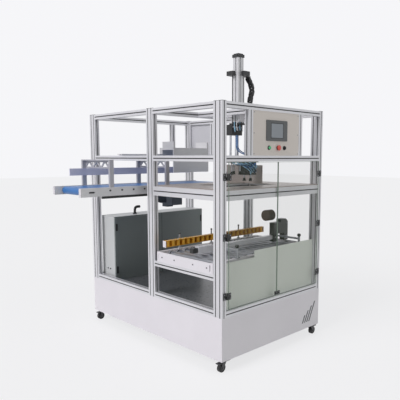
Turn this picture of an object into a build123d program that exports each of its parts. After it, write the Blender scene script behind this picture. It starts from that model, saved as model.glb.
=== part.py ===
from build123d import *
import os

# Cartoning machine: a profile-framed cell on a sheet-metal base with castors.
# Millimetres, +Z up. X runs along the front, Y from the front to the back.
# The origin is under the middle of the whole machine, on the floor.

# Enclosure
width = 1100
depth = 1600
castor_height = 85
base_top = 380
frame_top = 1780
skirt_wall = 2
deck_thickness = 4
profile = 40
post_depth = 80
mid_post_y = 715
upper_rail_bottom = 1400
side_rail_bottom = 620
back_post_x = 860

# Flat sides of small round pieces, few enough to keep the facets down
pin_sides = 8
bar_sides = 12
roller_sides = 20

# Slot of the frame profiles
slot_opening = 8
slot_lip = 4.5
slot_width = 18
slot_floor = 9
slot_depth = 12

# Base frame under the deck
base_tube = 40

# Castors
castor_inset_x = 50
castor_inset_y = 38
wheel_radius = 30
wheel_width = 22
castor_trail = 18
castor_plate = 70
castor_plate_thickness = 5
fork_wall = 3
fork_gap = 3
hub_radius = 10
axle_radius = 4
axle_clearance = 0.1
bearing_radius = 20
bearing_gap = 1
kingpin_radius = 6
kingpin_reach = 2

# Front doors
door_thickness = 5
door_gap = 5
door_bottom = 435
door_top = 1396
door_seam_x = 550
hinge_axis_inset = 41.5
hinge_axis_proud = 9
hinge_barrel_radius = 7
hinge_pin_radius = 2.5
hinge_pin_clearance = 0.1
hinge_height = 45
hinge_leaf = 30
hinge_leaf_thickness = 4
hinge_side_gap = 2
hinge_joint_gap = 0.5
hinge_centres = (525, 914, 1303)
catch_width = 22
catch_height = 26
catch_thickness = 6

# Control panel
panel_post_left_x = 250
panel_post_right_x = 795
panel_thickness = 3
screen_x = 426
screen_width = 228
screen_bottom = 1541
screen_height = 142
screen_proud = 6
glass_inset_x = 52
glass_inset_z = 24
button_z = 1494
button_xs = (459, 556, 627)
button_radius = 11
button_length = 14
emergency_radius = 20
emergency_length = 19
button_collar_radius = 15
button_collar_length = 4

# Collation table
beam_height = 66
beam_bottom = 1149
table_thickness = 6
drop_left = 300
drop_right = 820
drop_near = 200
drop_far = 560
stop_plate_x = 822
stop_plate_near = 375
stop_plate_height = 144
stop_plate_thickness = 5

# Infeed belt conveyor
infeed_reach = 500
infeed_near_y = 870
infeed_rail_width = 28
infeed_clear_width = 360
infeed_rail_bottom = 1150
infeed_rail_height = 62
infeed_inner_x = 900
belt_setback = 55
belt_thickness = 3
belt_roller_radius = 25
belt_side_gap = 6
bed_gap = 2
slot_start = 60
slot_length = 46
slot_height = 12
motor_x = 420
motor_radius = 45
motor_length = 170
gearbox_size = 110
gearbox_depth = 70
gearbox_offset = 60
drive_plate_thickness = 8

# Bridges over the belt
bridge_xs = (-250, 260)
bridge_post_x = 33
bridge_post_y = 20
bridge_top = 1410
bridge_web = 66
bridge_thickness = 6
truss_bays = 6
truss_rim = 12
flange_thickness = 8
guide_bar_thickness = 8
guide_bar_gap = 2
guide_bar_height = 54
guide_bar_left = -378
guide_bar_right = 815

# Carton conveyor
carton_front_y = 84
carton_depth = 600
carton_rail_width = 30
carton_rail_bottom = 660
carton_rail_height = 75
end_plate_thickness = 4
plate_slot_inset = 26
plate_slot_width = 16
plate_slot_height = 44
roller_radius = 22
roller_pitch = 75
roller_count = 13
roller_first_x = 95
roller_drop = 2

# Roller guide behind the cartons
guide_left_x = 8
guide_length = 1084
guide_y = 585
guide_width = 34
guide_bottom = 775
guide_height = 47
guide_wall = 3
guide_roller_radius = 14
guide_roller_pitch = 48
guide_stand_xs = (205, 540, 860)
stand_radius = 6
stand_rise = 22
stand_arm = 12

# Side belt drive in front of the cartons
side_drive_y = 322
side_drive_depth = 34
side_beam_left_x = 84
side_beam_right_x = 900
side_beam_bottom = 763
side_beam_height = 33
idler_length = 48
fin_block_length = 140
fin_block_rise = 9
fin_count = 7
fin_gap = 8
drive_block_length = 180
drive_block_bottom = 744
drive_block_height = 178
drive_block_overhang = 14
drive_block_chamfer = 24
drive_notch_width = 84
drive_notch_height = 60
side_motor_radius = 42
side_motor_length = 176
side_stand_xs = (245, 955)
side_stand_radius = 9
side_stand_height = 70
side_arm_size = 14

# Inner panel behind the doors
inner_panel_back = 43
inner_panel_thickness = 3
inner_panel_gap = 4
inner_panel_top = 781
panel_notch_length = 320
panel_notch_height = 48

# Panel that closes the rear upper bay on the right
side_post_y = 1195
side_panel_thickness = 4

# Product pusher over the belt
pusher_left_x = 455
pusher_width = 400
pusher_y = 1040
pusher_depth = 150
pusher_bottom = 1489
pusher_height = 18
pusher_wall_height = 52
pusher_blade_drop = 190
pusher_rail_gap = 4
pusher_end_gap = 1

# Electrical cabinet
cabinet_left = 66
cabinet_right_gap = 4
cabinet_wall = 3
cabinet_back_gap = 5
cabinet_depth = 205
cabinet_top = 926
cabinet_door_thickness = 15

# Conduit from the cabinet
conduit_x = 330
conduit_inset = 90
conduit_radius = 12
conduit_rise = 62
conduit_reach = 56
conduit_bend = 26
conduit_nut_radius = 18
conduit_nut_height = 10

# Lift
lift_x = 555
mast_y = 390
mast_width = 55
mast_depth = 55
mast_bottom = 1690
mast_top = 2165
mast_cap = 20
mast_cap_lip = 4
lift_beam_gap = 112
bracket_thickness = 12
bracket_foot = 60
carriage_clearance = 5
collar_size = 124
collar_bottom = 2032
collar_thickness = 32
arm_thickness = 10
arm_width = 44
base_plate_gap = 8
base_plate_size = 94
base_plate_thickness = 12
valve_offset_x = -30
valve_offset_y = 15
valve_width = 110
valve_depth = 70
valve_height = 78
rod_radius = 8
cylinder_radius = 15
rod_offset_x = -35
cylinder_offset_x = 34

# Pick head
head_left_x = 445
head_right_x = 748
head_depth = 110
head_plate_top = 1400
head_plate_thickness = 12
manifold_left_x = 638
manifold_width = 84
manifold_height = 96
stem_radius = 6
stem_length = 66
cup_radius = 16
cup_height = 24
cup_lip = 5
cup_xs = (470, 560, 680)
cup_pitch_y = 66

# Air tubes
tube_radius = 4
tube_bend = 18
tube_rise = 30
tube_gap = 5

# Energy chain
chain_width = 40
chain_pitch = 26
chain_plate = 3
chain_height = 20
chain_pin_radius = 4
chain_pin_proud = 1
chain_corner = 6
chain_bar_length = 10
chain_bar_thickness = 3
chain_start_x = 664
chain_headings = (42, 34, 22, 6, -16, -20, -10, 0, 0, 0, 0, 0, 0)
chain_tab_thickness = 8

# Places worked out from the sizes above
left = (infeed_reach - width) / 2
right = left + width
door_proud = hinge_axis_proud + hinge_barrel_radius
front = (door_proud - depth) / 2
back = front + depth
table_z = beam_bottom + beam_height

os.makedirs("parts", exist_ok=True)


def across(value):
    """X of a distance measured from the left face."""
    return left + value


def inward(value):
    """Y of a distance measured from the front face."""
    return front + value


def slab(x_range, y_range, z_range, mode=Mode.ADD):
    """A rectangular block between two corners."""
    centre = (sum(x_range) / 2, sum(y_range) / 2, sum(z_range) / 2)
    with Locations(centre):
        Box(
            x_range[1] - x_range[0],
            y_range[1] - y_range[0],
            z_range[1] - z_range[0],
            mode=mode,
        )


def round_bar(start, direction, radius, length, mode=Mode.ADD, sides=0):
    """A cylinder from a start point along a direction, or a prism if sides are given."""
    with BuildSketch(Plane(origin=start, z_dir=direction)) as end:
        if sides:
            RegularPolygon(radius, sides)
        else:
            Circle(radius)
    extrude(end.sketch, amount=length, mode=mode)


def save(builder, label):
    """Name a finished piece and write it."""
    builder.part.label = label
    export_step(builder.part, f"parts/{label}.step")


def slot_cut(x, y, turn):
    """One undercut slot, open on the edge that it is placed at."""
    half_opening = slot_opening / 2
    outline = (
        (-half_opening, 0),
        (-half_opening, -slot_lip),
        (-slot_width / 2, -slot_lip),
        (-slot_floor / 2, -slot_depth),
        (slot_floor / 2, -slot_depth),
        (slot_width / 2, -slot_lip),
        (half_opening, -slot_lip),
        (half_opening, 0),
    )
    with Locations(Location((x, y), turn)):
        Polygon(*outline, align=None, mode=Mode.SUBTRACT)


def profile_section(wide, deep):
    """Slotted aluminium section with one slot for each profile width."""
    Rectangle(wide, deep)
    for index in range(round(wide / profile)):
        x = (index + 0.5) * profile - wide / 2
        slot_cut(x, deep / 2, 0)
        slot_cut(x, -deep / 2, 180)
    for index in range(max(1, int(deep // profile))):
        y = (index + 0.5) * deep / max(1, int(deep // profile)) - deep / 2
        slot_cut(wide / 2, y, -90)
        slot_cut(-wide / 2, y, 90)


def bar_x(x0, x1, y, z, wide=profile, tall=profile):
    """Frame profile along X with its lower front corner at y and z."""
    plane = Plane(origin=(x0, y + wide / 2, z + tall / 2), x_dir=(0, 1, 0), z_dir=(1, 0, 0))
    with BuildSketch(plane) as section:
        profile_section(wide, tall)
    extrude(section.sketch, amount=x1 - x0)


def bar_y(y0, y1, x, z, wide=profile, tall=profile):
    """Frame profile along Y with its lower left corner at x and z."""
    plane = Plane(origin=(x + wide / 2, y0, z + tall / 2), x_dir=(1, 0, 0), z_dir=(0, 1, 0))
    with BuildSketch(plane) as section:
        profile_section(wide, tall)
    extrude(section.sketch, amount=y1 - y0)


def bar_z(z0, z1, x, y, wide=profile, deep=profile):
    """Upright frame profile with its front left corner at x and y."""
    with BuildSketch(Plane(origin=(x + wide / 2, y + deep / 2, z0))) as section:
        profile_section(wide, deep)
    extrude(section.sketch, amount=z1 - z0)


# Posts of the frame
post_xs = {"left": left, "right": right - profile}
post_ys = {"front": front, "middle": inward(mid_post_y), "back": back - post_depth}
with BuildPart() as frame_posts:
    for post_x in post_xs.values():
        for post_y in post_ys.values():
            bar_z(base_top, frame_top, post_x, post_y, profile, post_depth)
save(frame_posts, "frame_posts")

inner_left = left + profile
inner_right = right - profile
bay_ends = (
    (front + post_depth, post_ys["middle"]),
    (post_ys["middle"] + post_depth, post_ys["back"]),
)


def rail_ring(z):
    """Rails between the posts on all four sides at one height."""
    bar_x(inner_left, inner_right, front, z)
    bar_x(inner_left, inner_right, back - profile, z)
    for bay_start, bay_end in bay_ends:
        for post_x in post_xs.values():
            bar_y(bay_start, bay_end, post_x, z)


with BuildPart() as lower_rails:
    rail_ring(base_top)
    for post_x in post_xs.values():
        bar_y(*bay_ends[0], post_x, side_rail_bottom)
save(lower_rails, "lower_rails")

pusher_rail_y = inward(pusher_y) + pusher_depth
pusher_rail_bottom = bridge_top + pusher_rail_gap
with BuildPart() as upper_rails:
    rail_ring(upper_rail_bottom)
    bar_x(
        inner_left + pusher_end_gap,
        inner_right - pusher_end_gap,
        pusher_rail_y,
        pusher_rail_bottom,
    )
save(upper_rails, "upper_rails")

top_rail_bottom = frame_top - profile
with BuildPart() as top_rails:
    rail_ring(top_rail_bottom)
    bar_x(inner_left, inner_right, post_ys["middle"] + post_depth / 4, top_rail_bottom)
save(top_rails, "top_rails")

with BuildPart() as upper_posts:
    for post_x in (panel_post_left_x, panel_post_right_x):
        bar_z(upper_rail_bottom + profile, top_rail_bottom, across(post_x), front)
    bar_z(upper_rail_bottom + profile, top_rail_bottom, across(back_post_x), back - profile)
    bar_z(upper_rail_bottom + profile, top_rail_bottom, right - profile, inward(side_post_y))
save(upper_posts, "upper_posts")

with BuildPart() as upper_side_panel:
    slab(
        (right - (profile + side_panel_thickness) / 2, right - (profile - side_panel_thickness) / 2),
        (inward(side_post_y) + profile, post_ys["back"]),
        (upper_rail_bottom + profile, top_rail_bottom),
    )
save(upper_side_panel, "upper_side_panel")

# Sheet-metal base
with BuildPart() as base_skirt:
    slab((left, right), (front, back), (castor_height, base_top))
    slab(
        (left + skirt_wall, right - skirt_wall),
        (front + skirt_wall, back - skirt_wall),
        (castor_height, base_top),
        Mode.SUBTRACT,
    )
save(base_skirt, "base_skirt")

deck_bottom = base_top - deck_thickness
with BuildPart() as base_deck:
    slab(
        (left + skirt_wall, right - skirt_wall),
        (front + skirt_wall, back - skirt_wall),
        (deck_bottom, base_top),
    )
save(base_deck, "base_deck")

tube_bottom = castor_height
plate_bottom = castor_height - castor_plate_thickness
fork_top = plate_bottom - bearing_gap
kingpin_end = fork_top - fork_wall - kingpin_reach
castor_spots = {
    "front_left": (left + castor_inset_x, front + castor_inset_y),
    "front_right": (right - castor_inset_x, front + castor_inset_y),
    "back_left": (left + castor_inset_x, back - castor_inset_y),
    "back_right": (right - castor_inset_x, back - castor_inset_y),
}
with BuildPart() as base_frame:
    for tube_y in (front + skirt_wall, back - skirt_wall - base_tube):
        slab(
            (left + skirt_wall, right - skirt_wall),
            (tube_y, tube_y + base_tube),
            (tube_bottom, tube_bottom + base_tube),
        )
    for tube_x in (left + skirt_wall, right - skirt_wall - base_tube):
        slab(
            (tube_x, tube_x + base_tube),
            (front + skirt_wall, back - skirt_wall),
            (tube_bottom, tube_bottom + base_tube),
        )
    for tube_x in (left + skirt_wall, right - skirt_wall - base_tube):
        for tube_y in (front + skirt_wall, back - skirt_wall - base_tube):
            slab(
                (tube_x, tube_x + base_tube),
                (tube_y, tube_y + base_tube),
                (tube_bottom, deck_bottom),
            )
    gusset = 2 * castor_inset_x
    for gusset_x in (left + skirt_wall, right - skirt_wall - gusset):
        for gusset_y in (front + skirt_wall, back - skirt_wall - gusset):
            slab(
                (gusset_x, gusset_x + gusset),
                (gusset_y, gusset_y + gusset),
                (tube_bottom, tube_bottom + castor_plate_thickness),
            )
    for spot_x, spot_y in castor_spots.values():
        with Locations((spot_x, spot_y, plate_bottom + castor_plate_thickness / 2)):
            Box(castor_plate, castor_plate, castor_plate_thickness)
        round_bar(
            (spot_x, spot_y, kingpin_end),
            (0, 0, 1),
            kingpin_radius,
            plate_bottom - kingpin_end,
            sides=bar_sides,
        )
save(base_frame, "base_frame")

# Castors: a swivelling fork and a wheel at each corner, trailing outward
fork_half = wheel_width / 2 + fork_gap + fork_wall

for corner, (spot_x, spot_y) in castor_spots.items():
    outward = -1 if spot_x < across(width / 2) else 1
    wheel_x = spot_x + outward * castor_trail
    with BuildPart() as fork:
        for cheek_start in (spot_y - fork_half, spot_y + fork_half - fork_wall):
            cheek_plane = Plane(
                origin=(0, cheek_start + fork_wall, 0), x_dir=(1, 0, 0), z_dir=(0, -1, 0)
            )
            with BuildSketch(cheek_plane):
                Polygon(
                    (spot_x - bearing_radius, fork_top),
                    (spot_x + bearing_radius, fork_top),
                    (wheel_x + hub_radius, wheel_radius),
                    (wheel_x + hub_radius / 2, wheel_radius - hub_radius),
                    (wheel_x - hub_radius / 2, wheel_radius - hub_radius),
                    (wheel_x - hub_radius, wheel_radius),
                    align=None,
                )
            extrude(amount=fork_wall)
        round_bar(
            (spot_x, spot_y, fork_top - fork_wall),
            (0, 0, 1),
            bearing_radius,
            fork_wall,
            sides=roller_sides,
        )
        round_bar(
            (spot_x, spot_y, fork_top - fork_wall),
            (0, 0, 1),
            kingpin_radius + axle_clearance,
            fork_wall,
            Mode.SUBTRACT,
        )
        round_bar(
            (wheel_x, spot_y - fork_half, wheel_radius),
            (0, 1, 0),
            axle_radius,
            2 * fork_half,
            sides=bar_sides,
        )
    save(fork, f"{corner}_fork")
    with BuildPart() as wheel:
        wheel_start = (wheel_x, spot_y - wheel_width / 2, wheel_radius)
        round_bar(wheel_start, (0, 1, 0), wheel_radius, wheel_width)
        round_bar(
            wheel_start, (0, 1, 0), axle_radius + axle_clearance, wheel_width, Mode.SUBTRACT
        )
    save(wheel, f"{corner}_wheel")

# Front doors of clear sheet, hung on barrel hinges
axis_y = front - hinge_axis_proud
panel_back_y = front - door_gap
panel_front_y = panel_back_y - door_thickness
panel_start = hinge_barrel_radius + door_gap
door_seam = across(door_seam_x)
hinge_axes = {"left": left + hinge_axis_inset, "right": right - hinge_axis_inset}
half_hinge = hinge_height / 2


def spread(start, direction, near, far):
    """An X range between two distances from a start, on either side."""
    return tuple(sorted((start + direction * near, start + direction * far)))


with BuildPart() as fixed_hinge_leaves:
    for side, toward_seam in (("left", 1), ("right", -1)):
        axis_x = hinge_axes[side]
        for centre in hinge_centres:
            slab(
                spread(axis_x, -toward_seam, hinge_barrel_radius + hinge_side_gap, hinge_leaf),
                (front - hinge_leaf_thickness, front),
                (centre - half_hinge, centre + half_hinge),
            )
            slab(
                spread(axis_x, -toward_seam, 0, hinge_barrel_radius + hinge_side_gap),
                (front - hinge_leaf_thickness, front),
                (centre - half_hinge, centre - hinge_joint_gap),
            )
            round_bar(
                (axis_x, axis_y, centre - half_hinge),
                (0, 0, 1),
                hinge_barrel_radius,
                half_hinge - hinge_joint_gap,
                sides=bar_sides,
            )
            round_bar(
                (axis_x, axis_y, centre - half_hinge),
                (0, 0, 1),
                hinge_pin_radius,
                hinge_height,
                sides=bar_sides,
            )
save(fixed_hinge_leaves, "fixed_hinge_leaves")

for side, toward_seam in (("left", 1), ("right", -1)):
    axis_x = hinge_axes[side]
    panel_width = abs(door_seam - axis_x) - panel_start - door_gap / 2
    with BuildPart() as door_panel:
        slab(
            spread(axis_x, toward_seam, panel_start, panel_start + panel_width),
            (panel_front_y, panel_back_y),
            (door_bottom, door_top),
        )
    save(door_panel, f"{side}_door_panel")
    with BuildPart() as door_fittings:
        for centre in hinge_centres:
            slab(
                spread(axis_x, toward_seam, hinge_barrel_radius + hinge_side_gap, hinge_leaf),
                (panel_front_y - hinge_leaf_thickness, panel_front_y),
                (centre - half_hinge, centre + half_hinge),
            )
            slab(
                spread(axis_x, toward_seam, 0, hinge_barrel_radius + hinge_side_gap),
                (panel_front_y - hinge_leaf_thickness, panel_front_y),
                (centre, centre + half_hinge),
            )
            round_bar(
                (axis_x, axis_y, centre), (0, 0, 1), hinge_barrel_radius, half_hinge, sides=bar_sides
            )
            round_bar(
                (axis_x, axis_y, centre),
                (0, 0, 1),
                hinge_pin_radius + hinge_pin_clearance,
                half_hinge,
                Mode.SUBTRACT,
            )
        slab(
            spread(door_seam, -toward_seam, door_gap, door_gap + catch_width),
            (panel_front_y - catch_thickness, panel_front_y),
            (door_bottom + door_gap, door_bottom + door_gap + catch_height),
        )
    save(door_fittings, f"{side}_door_fittings")

# Control panel with touch screen and buttons, let in between its posts
panel_left = across(panel_post_left_x) + profile
panel_right = across(panel_post_right_x)
panel_front = front + panel_thickness
with BuildPart() as control_panel:
    slab(
        (panel_left, panel_right),
        (panel_front, panel_front + panel_thickness),
        (upper_rail_bottom + profile, top_rail_bottom),
    )
save(control_panel, "control_panel")

with BuildPart() as touch_screen:
    slab(
        (across(screen_x), across(screen_x + screen_width)),
        (panel_front - screen_proud, panel_front),
        (screen_bottom, screen_bottom + screen_height),
    )
    fillet(touch_screen.edges().filter_by(Axis.Y), radius=screen_proud)
    slab(
        (across(screen_x + glass_inset_x), across(screen_x + screen_width - glass_inset_x)),
        (panel_front - screen_proud, panel_front - screen_proud + 1),
        (screen_bottom + glass_inset_z, screen_bottom + screen_height - glass_inset_z),
        Mode.SUBTRACT,
    )
save(touch_screen, "touch_screen")

with BuildPart() as push_buttons:
    for button_x in button_xs:
        face = (across(button_x), panel_front, button_z)
        wide = emergency_radius if button_x == button_xs[1] else button_radius
        tall = emergency_length if button_x == button_xs[1] else button_length
        round_bar(
            face, (0, -1, 0), button_collar_radius, button_collar_length, sides=roller_sides
        )
        round_bar(face, (0, -1, 0), button_radius, tall, sides=roller_sides)
        head = (across(button_x), panel_front - tall, button_z)
        round_bar(head, (0, 1, 0), wide, tall / 2, sides=roller_sides)
save(push_buttons, "push_buttons")

# Collation table on slotted beams
with BuildPart() as table_beams:
    bar_x(inner_left, inner_right, front, beam_bottom, profile, beam_height)
    bar_x(
        inner_left,
        inner_right,
        post_ys["middle"] + post_depth / 4,
        beam_bottom,
        profile,
        beam_height,
    )
    for post_x in post_xs.values():
        bar_y(*bay_ends[0], post_x, beam_bottom, profile, beam_height)
save(table_beams, "table_beams")

table_back = post_ys["middle"] + post_depth / 4 + profile
with BuildPart() as collation_table:
    slab((inner_left, inner_right), (front, table_back), (table_z, table_z + table_thickness))
    slab(
        (across(drop_left), across(drop_right)),
        (inward(drop_near), inward(drop_far)),
        (table_z, table_z + table_thickness),
        Mode.SUBTRACT,
    )
    slab(
        (across(stop_plate_x), across(stop_plate_x) + stop_plate_thickness),
        (inward(stop_plate_near), table_back),
        (table_z, table_z + table_thickness + stop_plate_height),
    )
save(collation_table, "collation_table")

# Infeed belt conveyor through the left face
infeed_near = inward(infeed_near_y)
infeed_far = infeed_near + infeed_rail_width + infeed_clear_width
rail_left = left - infeed_reach
infeed_right = across(infeed_inner_x)
roller_z = infeed_rail_bottom + infeed_rail_height / 2
belt_outer = belt_roller_radius + belt_thickness
roller_out_x = rail_left + belt_setback + belt_outer
roller_in_x = infeed_right - belt_outer - belt_side_gap
with BuildPart() as infeed_rails:
    for rail_y in (infeed_near, infeed_far):
        slab(
            (rail_left, infeed_right),
            (rail_y, rail_y + infeed_rail_width),
            (infeed_rail_bottom, infeed_rail_bottom + infeed_rail_height),
        )
        slot_x = rail_left + slot_start
        with BuildSketch(Plane(origin=(0, rail_y, 0), x_dir=(1, 0, 0), z_dir=(0, 1, 0))) as slot:
            with Locations((slot_x + slot_length / 2, -roller_z)):
                SlotOverall(slot_length, slot_height)
        extrude(slot.sketch, amount=infeed_rail_width, mode=Mode.SUBTRACT)
    slab(
        (roller_out_x + belt_roller_radius + bed_gap, roller_in_x - belt_roller_radius - bed_gap),
        (infeed_near + infeed_rail_width, infeed_far),
        (roller_z - belt_roller_radius + bed_gap, roller_z + belt_roller_radius - bed_gap),
    )
save(infeed_rails, "infeed_rails")

belt_near = infeed_near + infeed_rail_width + belt_side_gap
belt_far = infeed_far - belt_side_gap
belt_plane = Plane(origin=(0, belt_near, roller_z), x_dir=(1, 0, 0), z_dir=(0, 1, 0))
belt_mid_x = (roller_out_x + roller_in_x) / 2
with BuildPart() as infeed_belt:
    with BuildSketch(belt_plane):
        with Locations((belt_mid_x, 0)):
            SlotCenterToCenter(roller_in_x - roller_out_x, 2 * belt_outer)
            SlotCenterToCenter(
                roller_in_x - roller_out_x, 2 * belt_roller_radius, mode=Mode.SUBTRACT
            )
    extrude(amount=belt_far - belt_near)
save(infeed_belt, "infeed_belt")

with BuildPart() as belt_rollers:
    for roller_x in (roller_out_x, roller_in_x):
        round_bar(
            (roller_x, infeed_near + infeed_rail_width, roller_z),
            (0, 1, 0),
            belt_roller_radius,
            infeed_clear_width,
        )
save(belt_rollers, "belt_rollers")

# Bridges over the belt, with a flat guide along the far side
bridge_near_y = infeed_near + (infeed_rail_width - bridge_post_y) / 2
bridge_far_y = infeed_far + (infeed_rail_width - bridge_post_y) / 2
bridge_end_y = bridge_far_y + bridge_post_y
rail_top = infeed_rail_bottom + infeed_rail_height
truss_low = bridge_top - bridge_web + truss_rim
truss_high = bridge_top - flange_thickness - truss_rim
truss_start = bridge_near_y + bridge_post_y + truss_rim
truss_pitch = (bridge_far_y - truss_rim - truss_start) / truss_bays
with BuildPart() as belt_bridges:
    for bridge_x in bridge_xs:
        bridge_left = across(bridge_x) - bridge_post_x / 2
        bridge_right = bridge_left + bridge_post_x
        for post_y in (bridge_near_y, bridge_far_y):
            slab(
                (bridge_left, bridge_right),
                (post_y, post_y + bridge_post_y),
                (rail_top, bridge_top),
            )
        slab(
            (bridge_right - bridge_thickness, bridge_right),
            (bridge_near_y, bridge_end_y),
            (bridge_top - bridge_web, bridge_top),
        )
        slab(
            (bridge_left, bridge_right),
            (bridge_near_y, bridge_end_y),
            (bridge_top - flange_thickness, bridge_top),
        )
        truss_plane = Plane(
            origin=(bridge_right - bridge_thickness, 0, 0), x_dir=(0, 1, 0), z_dir=(1, 0, 0)
        )
        with BuildSketch(truss_plane) as gaps:
            for bay in range(truss_bays):
                gap_start = truss_start + bay * truss_pitch
                gap_end = gap_start + truss_pitch
                base_z, tip_z = (truss_low, truss_high) if bay % 2 else (truss_high, truss_low)
                Polygon(
                    (gap_start - truss_pitch / 4, base_z),
                    (gap_end + truss_pitch / 4 - truss_rim, base_z),
                    ((gap_start + gap_end - truss_rim) / 2, tip_z),
                    align=None,
                )
        extrude(gaps.sketch, amount=bridge_thickness, mode=Mode.SUBTRACT)
save(belt_bridges, "belt_bridges")

guide_bar_y = bridge_far_y - guide_bar_thickness
guide_bar_top = bridge_top - bridge_web - guide_bar_gap
with BuildPart() as guide_bar:
    slab(
        (across(guide_bar_left), across(guide_bar_right)),
        (guide_bar_y, guide_bar_y + guide_bar_thickness),
        (guide_bar_top - guide_bar_height, guide_bar_top),
    )
save(guide_bar, "guide_bar")

# Drive motor hung under the belt conveyor on its gearbox, from a cross plate
motor_z = infeed_rail_bottom - drive_plate_thickness - gearbox_size / 2
motor_near = infeed_near + infeed_rail_width + gearbox_offset
with BuildPart() as belt_drive:
    slab(
        (across(motor_x) - gearbox_size / 2, across(motor_x) + gearbox_size / 2),
        (infeed_near, infeed_far + infeed_rail_width),
        (infeed_rail_bottom - drive_plate_thickness, infeed_rail_bottom),
    )
    slab(
        (across(motor_x) - gearbox_size / 2, across(motor_x) + gearbox_size / 2),
        (motor_near, motor_near + gearbox_depth),
        (motor_z - gearbox_size / 2, motor_z + gearbox_size / 2),
    )
    round_bar(
        (across(motor_x), motor_near + gearbox_depth, motor_z), (0, 1, 0), motor_radius, motor_length
    )
save(belt_drive, "belt_drive")

# Carton conveyor with cross rollers
carton_near = inward(carton_front_y)
carton_end = carton_near + carton_depth
carton_far = carton_end - carton_rail_width
carton_rail_top = carton_rail_bottom + carton_rail_height
with BuildPart() as carton_frame:
    for rail_y in (carton_near, carton_far):
        slab(
            (left + end_plate_thickness, right - end_plate_thickness),
            (rail_y, rail_y + carton_rail_width),
            (carton_rail_bottom, carton_rail_top),
        )
    for plate_x in (left, right - end_plate_thickness):
        slab(
            (plate_x, plate_x + end_plate_thickness),
            (carton_near, carton_end),
            (carton_rail_bottom, carton_rail_top),
        )
        for slot_y in (carton_near + plate_slot_inset, carton_end - plate_slot_inset):
            slab(
                (plate_x, plate_x + end_plate_thickness),
                (slot_y - plate_slot_width / 2, slot_y + plate_slot_width / 2),
                (
                    carton_rail_bottom + (carton_rail_height - plate_slot_height) / 2,
                    carton_rail_top - (carton_rail_height - plate_slot_height) / 2,
                ),
                Mode.SUBTRACT,
            )
save(carton_frame, "carton_frame")

with BuildPart() as carton_rollers:
    for index in range(roller_count):
        roller_x = across(roller_first_x + index * roller_pitch)
        round_bar(
            (roller_x, carton_near + carton_rail_width, carton_rail_top - roller_radius - roller_drop),
            (0, 1, 0),
            roller_radius,
            carton_depth - 2 * carton_rail_width,
            sides=roller_sides,
        )
save(carton_rollers, "carton_rollers")

# Roller guide along the far side of the cartons
guide_near = inward(guide_y)
guide_right_x = guide_left_x + guide_length
guide_roller_count = int(guide_length // guide_roller_pitch)
with BuildPart() as roller_guide:
    slab(
        (across(guide_left_x), across(guide_right_x)),
        (guide_near, guide_near + guide_width),
        (guide_bottom, guide_bottom + guide_wall),
    )
    slab(
        (across(guide_left_x), across(guide_right_x)),
        (guide_near, guide_near + guide_width),
        (guide_bottom + guide_height - guide_wall, guide_bottom + guide_height),
    )
    slab(
        (across(guide_left_x), across(guide_right_x)),
        (guide_near + guide_width - guide_wall, guide_near + guide_width),
        (guide_bottom, guide_bottom + guide_height),
    )
save(roller_guide, "roller_guide")

with BuildPart() as guide_rollers:
    for index in range(guide_roller_count):
        roller_x = across(guide_left_x + (index + 0.5) * guide_length / guide_roller_count)
        round_bar(
            (roller_x, guide_near + guide_roller_radius, guide_bottom + guide_wall),
            (0, 0, 1),
            guide_roller_radius,
            guide_height - 2 * guide_wall,
            sides=bar_sides,
        )
save(guide_rollers, "guide_rollers")

# Side belt drive: an aluminium beam with a finned block, an idler and a drive block
drive_near = inward(side_drive_y)
drive_far = drive_near + side_drive_depth
beam_top = side_beam_bottom + side_beam_height
beam_left = across(side_beam_left_x)
beam_right = across(side_beam_right_x)
fin_pitch = fin_block_length / fin_count
with BuildPart() as side_drive_beam:
    slab((beam_left, beam_right), (drive_near, drive_far), (side_beam_bottom, beam_top))
    slab(
        (beam_left, beam_left + fin_block_length),
        (drive_near - fin_block_rise, drive_far),
        (side_beam_bottom - fin_block_rise, beam_top + fin_block_rise),
    )
    for fin in range(1, fin_count):
        gap_x = beam_left + fin * fin_pitch
        slab(
            (gap_x - fin_gap / 2, gap_x + fin_gap / 2),
            (drive_near - fin_block_rise, drive_far),
            (beam_top, beam_top + fin_block_rise),
            Mode.SUBTRACT,
        )
save(side_drive_beam, "side_drive_beam")

drive_block_near = drive_near - drive_block_overhang
drive_block_top = drive_block_bottom + drive_block_height
with BuildPart() as side_drive:
    slab(
        (beam_left - idler_length, beam_left),
        (drive_near, drive_far),
        (side_beam_bottom, beam_top),
    )
    slab(
        (beam_right, beam_right + drive_block_length),
        (drive_block_near, drive_far),
        (drive_block_bottom, drive_block_top),
    )
    top_edges = side_drive.edges().filter_by(Axis.Y).group_by(Axis.Z)[-1]
    chamfer(top_edges.sort_by(Axis.X)[-1], length=drive_block_chamfer)
    notch_x = beam_right + (drive_block_length - drive_notch_width) / 2
    slab(
        (notch_x, notch_x + drive_notch_width),
        (drive_block_near, drive_far),
        (drive_block_bottom, drive_block_bottom + drive_notch_height),
        Mode.SUBTRACT,
    )
    round_bar(
        (
            beam_right - side_motor_length / 2,
            (drive_block_near + drive_far) / 2,
            drive_block_top + side_motor_radius,
        ),
        (1, 0, 0),
        side_motor_radius,
        side_motor_length,
    )
    slab(
        (beam_right, beam_right + side_motor_length / 2),
        (drive_block_near, drive_far),
        (drive_block_top - drive_block_chamfer, drive_block_top + side_motor_radius),
    )
save(side_drive, "side_drive")

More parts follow.
